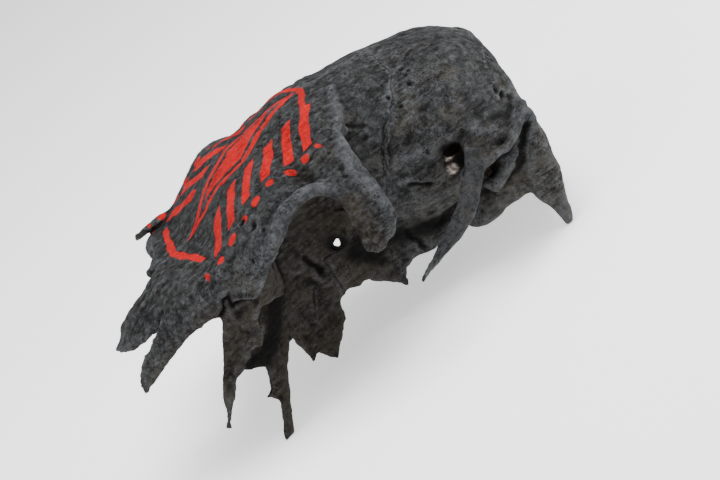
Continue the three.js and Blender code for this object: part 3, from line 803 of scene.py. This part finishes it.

# %% [markdown]
# The painter's canvas is the crown and forehead, down to the eaves where the roof turns into the side.
# The height of the roof along the skull says where that is. What lies under the eaves in a socket, or
# deep under the base, gets painted shade, and a few recesses get a painted shadow dark enough to look
# black.

# %% Canvas and painted shade
ROOF_S = [0, 14, 37, 61, 80, 93, 113, 132, 150, 165, 176, 197, 216]
ROOF_H = [82, 95, 102, 107, 109, 109, 106, 100, 89, 84.5, 84, 76, 66]
EAVES_DROP = 8.0  # mm below the roof at the midline
EAVES_CURVE = 14.0  # mm more at the full width
EAVES_WIDTH = 60.0
FACING_UP = (0.15, 0.3)
SOCKET_SIDE = (54.0, 6.0)
SOCKET_S = (90.0, 6.0)
SOCKET_DROP = 10.0
SOCKET_FADE = 6.0
BASE_H = (36.0, 9.0)
BASE_SIDE = (42.0, 6.0)
BASE_S = (60.0, 30.0)
BASE_FRONT_SHADE = 0.4
PAINTED_SHADOWS = [
    # line of (s, w, h), reach in mm: painted shadow, nearly black
    ([(98, 28, 46), (92, 28, 42), (82, 29, 36), (68, 31, 32)], 4.5),
    ([(50.5, 44.5, 63.0), (46.5, 44.2, 61.0), (45.0, 45.0, 57.0), (46.5, 45.5, 53.0)], 2.4),
    ([(109.6, 30.3, 51.8), (111.4, 30.3, 53.8)], 3.9),
    ([(105, 28, 43), (98, 26.5, 35)], 4.2),
    ([(51.9, 43.5, 52.2), (51.7, 43.5, 51.8)], 0.75),
    ([(147, 32, 50), (156, 33, 39), (166, 36, 34), (172, 39, 36)], 4.5),
    ([(37, 50, 43.4), (38, 40, 39)], 3.0),
]
PAINTED_SHADOW_STRENGTH = 1.6


def roof_height(ground):
    return np.interp(ground.s, ROOF_S, ROOF_H)


def keep_canvas(clay, ground):
    eaves = roof_height(ground) - EAVES_DROP - EAVES_CURVE * (ground.side / EAVES_WIDTH) ** 2
    facing_up = rise(ground.normals[:, 2], *FACING_UP)
    keep(clay, "canvas", clay.spread(facing_up * (ground.h > eaves), times=3))


def keep_shade(clay, ground):
    # painted shade: in the eye sockets under the eaves, under the base and in the recesses
    under_roof = fall(ground.h, roof_height(ground) - SOCKET_DROP, SOCKET_FADE)
    socket = fall(ground.side, *SOCKET_SIDE) * rise(ground.s, *SOCKET_S) * under_roof
    behind = np.maximum(fall(ground.s, *BASE_S), BASE_FRONT_SHADE)
    base = fall(ground.h, *BASE_H) * fall(ground.side, *BASE_SIDE) * behind
    recesses = sum(PAINTED_SHADOW_STRENGTH * hill(near_line(ground.sided, line), reach) for line, reach in PAINTED_SHADOWS)
    deep = np.clip(recesses, 0.0, 1.0)
    keep(clay, "shade", clay.spread(np.maximum(np.maximum(socket, base), deep), times=4))
    # deep: the painted black shadow of the recesses
    keep(clay, "deep", clay.spread(deep, times=1))


print("the roof is", max(ROOF_H), "mm high at its highest")

# %% [markdown]
# The cheek arch is darker, low down at the back the bone is browner with dust and lighter with painted
# light, and the ridges are rubbed pale with wear and a painted highlight.
# The broken edges, and the fracture behind the eye most of all, show the browner inside of the bone.

# %% A darker cheek arch, dust with painted light, and ridges with wear and painted highlights
ARCH = [(34, 54, 60), (44, 58, 57), (52, 62, 51), (60, 67, 46), (70, 70, 42), (84, 75, 38.5)]
DARKER_ARCH_REACH = 9.0
DARKER_ARCH_SIDE = (47.0, 5.0)
DUST_AND_LIGHT_H = (44.0, 12.0)
DUST_AND_LIGHT_S = (44.0, 14.0)
DUST_AND_LIGHT_FROM_S = 7.0
DUST_AND_LIGHT_SIDE = (50.0, 8.0)
DUST_AND_LIGHT_OUTSIDE = 0.35
RUBBED_HIGHLIGHT_RIDGES = 3  # the first ridges of the list
RUBBED_HIGHLIGHT_REACH = 3.6
BREAK_STRENGTH = 1.6
BREAK_REACH = 5.0


def keep_dirt_and_painted_light(clay, ground):
    # the cheek arch is darker
    keep(clay, "darker_arch", hill(near_line(ground.sided, ARCH), DARKER_ARCH_REACH) * rise(ground.side, *DARKER_ARCH_SIDE))
    # low at the back: browner with dust, and lighter with painted light
    low_behind = fall(ground.h, *DUST_AND_LIGHT_H) * fall(ground.s, *DUST_AND_LIGHT_S) * (ground.s > DUST_AND_LIGHT_FROM_S)
    keep(clay, "dust_and_light", low_behind * np.maximum(fall(ground.side, *DUST_AND_LIGHT_SIDE), DUST_AND_LIGHT_OUTSIDE))
    # rubbed ridges: wear and a painted highlight
    ridges = RIDGES[:RUBBED_HIGHLIGHT_RIDGES]
    keep(clay, "rubbed_and_highlight", sum(hill(near_line(ground.sided, line), RUBBED_HIGHLIGHT_REACH) for line, _, _ in ridges))


def keep_breaks(clay, ground, edge, broken):
    fracture = BREAK_STRENGTH * hill(near_line(ground.sided, FRACTURE), BREAK_REACH)
    keep(clay, "broken", np.maximum(edge * broken, fracture))


print("soot reaches", DARKER_ARCH_REACH, "mm from the arch")

# %% [markdown]
# The brain's hollow was never stained. A point belongs to it when it lies within a rounded box, whose
# width changes along the skull, and faces the middle of that box. Two small spots in the opening over
# the root of the cheek arch are paler still.

# %% The brain's hollow
HOLLOW_S = [5, 12, 30, 45, 60, 72, 90]
HOLLOW_HALF_WIDTH = [38, 41, 42, 41.5, 39, 37, 30]
HOLLOW_MIDDLE_H = 58.0
HOLLOW_UNDER_ROOF = 64.0  # the roof's height less this is the height of the upper half
HOLLOW_LOWER_HALF = 36.0
HOLLOW_POWER = 2.2  # 2 is an ellipse, and more is squarer
HOLLOW_SIZE = 1.1
HOLLOW_BACK_S = 5.0
HOLLOW_FRONT_S = 93.0
FACING_H = 60.0
LEAST_INWARD = 4.0
MOST_SEAM = 0.3
NAPE_S = 16.0  # behind this, what faces back is the outside of the nape
MOST_BACKWARD = 0.3
BALD_SPOTS = [
    # place (s, w, h), how it is stretched, reach in mm
    ((50.3, 43.8, 57.4), (1.5, 1.0, 0.8), 2.0),
    ((52.0, 43.6, 52.3), (1.0, 1.0, 0.9), 2.9),
]
BALD_STEEPNESS = 2.4
BALD_FROM = 0.9
BALD_SIDE = (47.5, 2.0)


def keep_inside(clay, ground):
    s, w, h = ground.places.T
    half_width = np.interp(s, HOLLOW_S, HOLLOW_HALF_WIDTH)
    half_height = np.where(h > HOLLOW_MIDDLE_H, roof_height(ground) - HOLLOW_UNDER_ROOF, HOLLOW_LOWER_HALF)
    out_w = (ground.side / half_width) ** HOLLOW_POWER
    out_h = (np.abs(h - HOLLOW_MIDDLE_H) / half_height) ** HOLLOW_POWER
    inward = -(ground.normals[:, 0] * w + ground.normals[:, 2] * (h - FACING_H))
    inside = (out_w + out_h < HOLLOW_SIZE) & (s > HOLLOW_BACK_S) & (s < HOLLOW_FRONT_S)
    inside &= (inward > LEAST_INWARD) & (clay.seam < MOST_SEAM)
    inside &= (ground.normals[:, 1] < MOST_BACKWARD) | (s > NAPE_S)
    keep(clay, "inside", clay.spread(inside.astype(float), times=2))


def keep_bald(clay, ground):
    near = np.zeros(clay.count)
    for spot, stretch, reach in BALD_SPOTS:
        near += hill(np.linalg.norm((ground.places - spot) / stretch, axis=1), reach)
    spots = np.clip(near * BALD_STEEPNESS - BALD_FROM, 0.0, 1.0)
    keep(clay, "bald", spots * fall(ground.side, *BALD_SIDE))


print("the hollow is", 2 * max(HOLLOW_HALF_WIDTH), "mm wide")

# %% [markdown]
# The carved pieces have moved, so their ground is looked at afresh before the answers are kept.

# %% What each point knows
for name, (clay, edge, broken) in carved.items():
    ground = Ground(clay)
    keep_wear_and_painted_light(clay, ground)
    keep_canvas(clay, ground)
    keep_shade(clay, ground)
    keep_dirt_and_painted_light(clay, ground)
    keep_breaks(clay, ground, edge, broken)
    keep_inside(clay, ground)
    keep_bald(clay, ground)
    print(name, "keeps", len(clay.mesh.attributes), "attributes")

# %% [markdown]
# A material is a recipe of nodes. Written as plain sums it is easier to read, so a small class stands
# for one value in the recipe and knows how to add, subtract, multiply and divide itself.

# %% Shader sums
def sum_of(operation, reflected=False):
    """A method that makes a Math node from a value and another value or number."""

    def method(self, other):
        first, second = (other, self) if reflected else (self, other)
        return self.bench.maths(operation, first, second)

    return method


class Value:
    """One value of a material, with Python's operators."""

    __add__ = sum_of("ADD")
    __radd__ = sum_of("ADD", reflected=True)
    __sub__ = sum_of("SUBTRACT")
    __rsub__ = sum_of("SUBTRACT", reflected=True)
    __mul__ = sum_of("MULTIPLY")
    __rmul__ = sum_of("MULTIPLY", reflected=True)
    __truediv__ = sum_of("DIVIDE")

    def __init__(self, bench, socket):
        self.bench = bench
        self.socket = socket


print("a value can be added, subtracted, multiplied and divided")

# %% [markdown]
# A bench holds the material and makes every other node from its type, its settings and its sockets.
# The few kinds of node that bone needs have a short name each: grain, pores, steps and mixes.

# %% The bench
OBJECT_OUTPUT = 3  # of a Texture Coordinate node
COLOUR_OUTPUT = 2  # of a Mix node
FACTOR_OUTPUT = 2  # of an Attribute node


class Bench:
    """A material and the nodes that are made for it."""

    def __init__(self, name):
        self.material = bpy.data.materials.new(name)
        self.material.use_nodes = True
        self.tree = self.material.node_tree
        self.shader = self.tree.nodes["Principled BSDF"]

    def join(self, value, socket):
        if isinstance(value, Value):
            self.tree.links.new(value.socket, socket)
        else:
            socket.default_value = value

    def node(self, kind, settings=None, sockets=None, out=0):
        made = self.tree.nodes.new(kind)
        for key, value in (settings or {}).items():
            setattr(made, key, value)
        for key, value in (sockets or {}).items():
            self.join(value, made.inputs[key])
        return Value(self, made.outputs[out])

    def maths(self, operation, *values, clamp=False):
        settings = {"operation": operation, "use_clamp": clamp}
        return self.node("ShaderNodeMath", settings, dict(enumerate(values)))

    def limit(self, value):
        """A value kept between 0 and 1."""
        return self.maths("ADD", value, 0.0, clamp=True)

    def step(self, value, low, high):
        """0 below low and 1 above high, smooth between."""
        sockets = {0: value, 1: low, 2: high, 3: 0.0, 4: 1.0}
        return self.node("ShaderNodeMapRange", {"interpolation_type": "SMOOTHSTEP"}, sockets)

    def where(self, shift=0.0, stretch=(1.0, 1.0, 1.0)):
        """The place on the object, shifted and stretched."""
        coordinates = self.node("ShaderNodeTexCoord", out=OBJECT_OUTPUT)
        sockets = {0: coordinates, 1: (shift, shift, shift), 3: stretch}
        return self.node("ShaderNodeMapping", {"vector_type": "POINT"}, sockets)

    def grain(self, size, detail=4.0, roughness=0.55, shift=0.0, stretch=(1.0, 1.0, 1.0), twist=0.0):
        """Noise with lumps of a size in millimetres, from 0 to 1."""
        sockets = {"Vector": self.where(shift, stretch), "Scale": MM_PER_METRE / size}
        sockets |= {"Detail": detail, "Roughness": roughness, "Distortion": twist}
        return self.node("ShaderNodeTexNoise", None, sockets)

    def patch(self, size, detail, roughness, shift, start, full):
        """Patches of a size in millimetres, with the levels of the grain where they start and are full."""
        return self.step(self.grain(size, detail, roughness, shift), start, full)

    def pores(self, size, shift=0.0):
        """Distance to scattered points a size apart, in millimetres: 0 at a point."""
        sockets = {"Vector": self.where(shift), "Scale": MM_PER_METRE / size}
        return self.node("ShaderNodeTexVoronoi", None, sockets)

    def mix(self, mask, first, second):
        sockets = {0: mask, 6: first, 7: second}
        return self.node("ShaderNodeMix", {"data_type": "RGBA"}, sockets, out=COLOUR_OUTPUT)

    def known(self, name):
        """What the points know under a name."""
        settings = {"attribute_name": name, "attribute_type": "GEOMETRY"}
        return self.node("ShaderNodeAttribute", settings, out=FACTOR_OUTPUT)


bone = Bench("stained_bone")
print("the bench starts with", len(bone.tree.nodes), "nodes")

# %% [markdown]
# The skull has been stained to a deep charcoal. On ridges a cooler blue-grey shows, partly where the
# stain is thin and partly as a painted highlight, and sockets and recesses get warm brown and black
# painted shade. Inside the brain's hollow the bone is bare and keeps its natural pink-cream. Each colour
# is named here by its screen values.

# %% Colours of the bone
def rgb(r, g, b):
    """A colour from its 0 to 255 screen values, as linear light."""
    linear = [((v / 255 + 0.055) / 1.055) ** 2.4 if v > 10 else v / 255 / 12.92 for v in (r, g, b)]
    return (*linear, 1.0)


CHARCOAL = rgb(45, 45, 45)
SOOT = rgb(17, 17, 17)
SLATE = rgb(80, 81, 82)
# a lighter blue-grey: wear, and a painted highlight on ridges
WORN_AND_HIGHLIGHT = rgb(100, 103, 107)
EARTH = rgb(84, 79, 69)
# a warm brown: the bone inside broken edges, and painted shade in sockets and under the base
UMBER = rgb(50, 43, 33)
# a light brown: dust, and painted light low at the back
DUST_AND_LIGHT = rgb(96, 90, 78)
# near black: pores, cracks and grit, and painted shade in hollows and the deepest recesses
PITCH = rgb(6, 5, 5)
CREAM = rgb(205, 176, 160)
TAN = rgb(164, 128, 110)
PALE = rgb(226, 210, 200)
PALE_GREY = rgb(150, 134, 124)
RED = rgb(198, 22, 24)
DRY_RED = rgb(164, 20, 20)
print("charcoal reflects", round(CHARCOAL[0] * 100, 1), "per cent of the light")

# %% [markdown]
# The stain is never even. Patches of several sizes, each made from one noise, say where it is thick,
# thin or gritty. Pores are the spots round scattered points, and a crack is the thin line along which
# a stretched noise passes through its middle value.

# %% Patches, pores and cracks
PATCHES = {
    # size in mm, detail, roughness, shift, start and full
    "cloud": (24.0, 5.0, 0.60, 0.0, 0.36, 0.66),
    "mottle": (6.0, 8.0, 0.72, 3.0, 0.40, 0.68),
    "fine": (3.2, 8.0, 0.86, 5.0, 0.41, 0.60),
    "grit": (1.6, 7.0, 0.86, 7.0, 0.52, 0.60),
    "earth": (15.0, 5.0, 0.65, 67.0, 0.44, 0.64),
    "pore area": (11.0, 3.0, 0.50, 11.0, 0.42, 0.60),
    "small pore area": (8.0, 3.0, 0.50, 13.0, 0.44, 0.62),
    "crack area": (14.0, 2.0, 0.50, 19.0, 0.46, 0.58),
    "old red": (8.0, 4.0, 0.60, 41.0, 0.35, 0.65),
    "thin stain": (16.0, 4.0, 0.60, 47.0, 0.50, 0.60),
    "tan": (5.0, 5.0, 0.60, 53.0, 0.35, 0.70),
    "pale grey": (1.6, 4.0, 0.60, 61.0, 0.40, 0.60),
}
FIBRE_STRETCH = (2.6, 0.42, 1.7)  # under 1 draws the grain out that way
CRACK_STRETCH = (1.7, 0.5, 1.3)
STRAND_EDGE = (0.42, 0.62)
PORE_EDGE = (0.10, 0.30)
SMALL_PORE_EDGE = (0.14, 0.34)
CRACK_EDGE = (0.004, 0.022)

patch = {name: bone.patch(*values) for name, values in PATCHES.items()}
cloud, mottle, fine, grit = (patch[name] for name in ("cloud", "mottle", "fine", "grit"))
fibre = bone.grain(1.3, 6.0, 0.75, shift=8.0, stretch=FIBRE_STRETCH, twist=0.6)
strand = bone.step(fibre, *STRAND_EDGE)
pore = (1.0 - bone.step(bone.pores(1.7), *PORE_EDGE)) * patch["pore area"]
small_pore = (1.0 - bone.step(bone.pores(0.9, shift=4.0), *SMALL_PORE_EDGE)) * patch["small pore area"]
crack_noise = bone.grain(8.0, 8.0, 0.72, shift=17.0, stretch=CRACK_STRETCH)
from_crack = bone.maths("ABSOLUTE", crack_noise - 0.5)
crack = (1.0 - bone.step(from_crack, *CRACK_EDGE)) * patch["crack area"]
speckled = bone.limit(pore * 0.85 + small_pore * 0.6 + crack * 0.8)
print(len(PATCHES), "kinds of patches")

# %% [markdown]
# The colour is built up in coats, from the charcoal stain upwards. Each coat has a mask that says how
# much of it shows, from nothing at 0 to all of it at 1, and covers what is below.

# %% Coats of stain, dirt, painted light and painted shade
# hollow, shade and deep carry painted shade, and worn also a painted highlight
worn_and_highlight, hollow, canvas, shade, deep = map(bone.known, ("worn_and_highlight", "hollow", "canvas", "shade", "deep"))

COATS = [
    # how much of it shows, colour
    (cloud * 0.5, SOOT),
    (patch["earth"] * (1.0 - canvas * 0.7) * 0.55, EARTH),
    (fine * 0.66, SLATE),
    (strand * 0.52, SOOT),
    (grit * 0.62, PITCH),
    # dust, and painted light low at the back
    (bone.limit(bone.known("dust_and_light") * (0.30 + 0.45 * mottle)), DUST_AND_LIGHT),
    # wear, and a painted highlight on ridges and on points that stand out
    (bone.limit(bone.known("rubbed_and_highlight") * 0.20 + worn_and_highlight * (0.10 + 0.38 * fine)), WORN_AND_HIGHLIGHT),
    # painted shade in the sockets and under the base, tinted brown
    (bone.limit(shade * (0.45 + 0.25 * cloud)), UMBER),
    # painted shade in hollows
    (bone.limit(hollow * 0.75 + shade * 0.06), PITCH),
    (bone.limit(bone.known("broken") * (0.35 + 0.3 * mottle)), UMBER),
    # a darker cheek arch
    (bone.limit(bone.known("darker_arch") * (0.35 + 0.25 * fine)), SOOT),
    # painted black shadow in the deepest recesses
    (bone.limit(deep * 0.94), PITCH),
    (speckled, PITCH),
]
colour = CHARCOAL
for mask, coat in COATS:
    colour = bone.mix(mask, colour, coat)
print("the bone has", len(COATS), "coats over the charcoal")

# %% [markdown]
# The forehead carries a brushed pattern in red. It is drawn by sums on the distance from the midline
# and the distance along the skull. A slow wobble makes the strokes look drawn by hand, and a finer
# one makes their edges ragged.

# %% The brush
WOBBLE = 5.0  # mm
RAGGED = 1.3  # mm

coordinates = bone.node("ShaderNodeTexCoord", out=OBJECT_OUTPUT)
apart = bone.node("ShaderNodeSeparateXYZ", None, {0: coordinates}).socket.node
side_m, back_m = (Value(bone, output) for output in apart.outputs[:2])
wobble = (bone.grain(14.0, 2.0, 0.5, shift=23.0) - 0.5) * WOBBLE
ragged = (bone.grain(1.5, 4.0, 0.7, shift=29.0) - 0.5) * RAGGED
across = bone.maths("ABSOLUTE", side_m * MM_PER_METRE + wobble * 0.4)
along = MIDDLE_S - back_m * MM_PER_METRE + wobble


def beyond(value, low, high, shake):
    """0 below low and 1 above high, with a ragged edge."""
    return bone.step(value + ragged * shake, low, high)


def band(distance, middle, half_width):
    """1 where a distance is within half a width of its middle."""
    away = bone.maths("ABSOLUTE", distance - middle)
    return 1.0 - beyond(away, half_width - 0.35, half_width + 0.25, 0.5)


def between(value, low, high):
    """1 from low to high."""
    above, past = (beyond(value, edge - 0.4, edge + 0.4, 0.4) for edge in (low, high))
    return above * (1.0 - past)


print("the brush wobbles by", WOBBLE / 2, "mm at most")

# %% [markdown]
# The pattern is a long lozenge with a smaller one inside it, chevrons that open towards the front, two
# rows of dots, and a bar before and behind. All sizes are in millimetres.

# %% Brushed pattern
LOZENGE_S = 121.0
LOZENGE_HALF_LENGTH = 36.0
LOZENGE_HALF_WIDTH = 13.0
RING = (12.6, 1.6)  # middle and half width of the outer line
HEART = (8.2, 8.9)  # where the edge of the inner lozenge starts and ends
CHEVRON_PITCH = 11.5
CHEVRON_SLOPE = 0.62
CHEVRON_EDGE = (2.5, 3.1)
CHEVRONS_ACROSS = (18.5, 38.0)
CHEVRONS_ALONG = (69.5, 138.0)
DOT_PITCH = 9.0
DOTS_ACROSS = 43.5
DOTS_ALONG = (94.5, 166.5)
DOT_EDGE = (1.8, 2.4)
BARS = [
    # place along, half width, how far it leans, half length
    (168.0, 1.8, 0.2, 30.0),
    (80.5, 1.6, -0.35, 24.0),
]

lozenge = across / LOZENGE_HALF_WIDTH + bone.maths("ABSOLUTE", along - LOZENGE_S) / LOZENGE_HALF_LENGTH
lozenge = lozenge * LOZENGE_HALF_WIDTH
strokes = [band(lozenge, *RING), 1.0 - beyond(lozenge, *HEART, 0.5)]

slope = along - across * CHEVRON_SLOPE
from_chevron = bone.maths("ABSOLUTE", bone.maths("WRAP", slope, CHEVRON_PITCH, 0.0) - CHEVRON_PITCH / 2)
chevrons = (1.0 - beyond(from_chevron, *CHEVRON_EDGE, 0.4)) * between(across, *CHEVRONS_ACROSS)
strokes.append(chevrons * between(slope, *CHEVRONS_ALONG))

dot_along = bone.maths("WRAP", along, DOT_PITCH, 0.0) - DOT_PITCH / 2
dot_across = across - DOTS_ACROSS
from_dot = bone.maths("SQRT", dot_along * dot_along + dot_across * dot_across)
strokes.append((1.0 - beyond(from_dot, *DOT_EDGE, 0.4)) * between(along, *DOTS_ALONG))

for middle, half_width, lean, half_length in BARS:
    ends = 1.0 - bone.step(across, half_length, half_length + 1.0)
    strokes.append(band(along + across * lean, middle, half_width) * ends)

pattern = strokes[0]
for stroke in strokes[1:]:
    pattern = bone.maths("MAXIMUM", pattern, stroke)
print("the pattern has", len(strokes), "kinds of strokes")

# %% [markdown]
# A dry brush leaves the bone showing in streaks and on the lowest pits. The paint lies only on the
# canvas. After it come the bare bone of the brain's hollow and the pale spots.

# %% Paint and bare bone
STREAK_STRETCH = (2.4, 0.35, 1.0)
STREAK_EDGE = (0.30, 0.44)
CANVAS_EDGE = (0.3, 0.7)

dry = bone.grain(2.6, 4.0, 0.75, shift=37.0, stretch=STREAK_STRETCH)
cover = bone.step(dry, *STREAK_EDGE) * (1.0 - 0.35 * speckled)
paint = bone.limit(pattern * cover * bone.step(canvas, *CANVAS_EDGE))
red = bone.mix(patch["old red"] * 0.5, RED, DRY_RED)
colour = bone.mix(paint * 0.96, colour, red)

bare = bone.known("inside") * (1.0 - deep) * (1.0 - patch["thin stain"] * 0.6)
cream = bone.mix(patch["tan"], CREAM, TAN)
colour = bone.mix(bare * 0.6, colour, cream)
pale = bone.mix(patch["pale grey"], PALE, PALE_GREY)
colour = bone.mix(bone.limit(bone.known("bald") * (1.0 - deep)), colour, pale)
print("the colour is mixed from", len(bone.tree.nodes), "nodes")

# %% [markdown]
# Old bone is dull, a little less so where it is worn and under the paint. A bump gives the finest
# grain, which is too small for the mesh: fibres and grains stand up, pores and cracks sink in.

# %% Relief and sheen
BUMP_STRENGTH = 0.85
BUMP_DISTANCE = 0.0008  # m
SPECULAR = 0.07

relief = bone.grain(2.2, 8.0, 0.76, shift=59.0) * 0.8 + fibre * 0.7 - speckled * 0.5 + fine * 0.3
relief = relief - grit * 0.25 + paint * 0.1
bump_sockets = {"Strength": BUMP_STRENGTH, "Distance": BUMP_DISTANCE, "Height": relief}
bump = bone.node("ShaderNodeBump", None, bump_sockets)
sheen = 0.60 - 0.10 * worn_and_highlight + 0.12 * mottle + 0.10 * hollow - 0.06 * paint

bone.join(colour, bone.shader.inputs["Base Color"])
bone.join(sheen, bone.shader.inputs["Roughness"])
bone.join(bump, bone.shader.inputs["Normal"])
bone.shader.inputs["Specular IOR Level"].default_value = SPECULAR
print("the finish has", len(bone.tree.nodes), "nodes")

# %% [markdown]
# Every piece takes the finish and rides on the one body there is; the bones it covers are hidden, and
# their names are printed.

# %% Handing over
for name, skin in skins.items():
    bones = SKINS[name][0]
    skin.data.materials.clear()
    skin.data.materials.append(bone.material)
    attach(skin, "root")
    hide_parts(*bones)
    print(name, "stands for", ", ".join(bones))
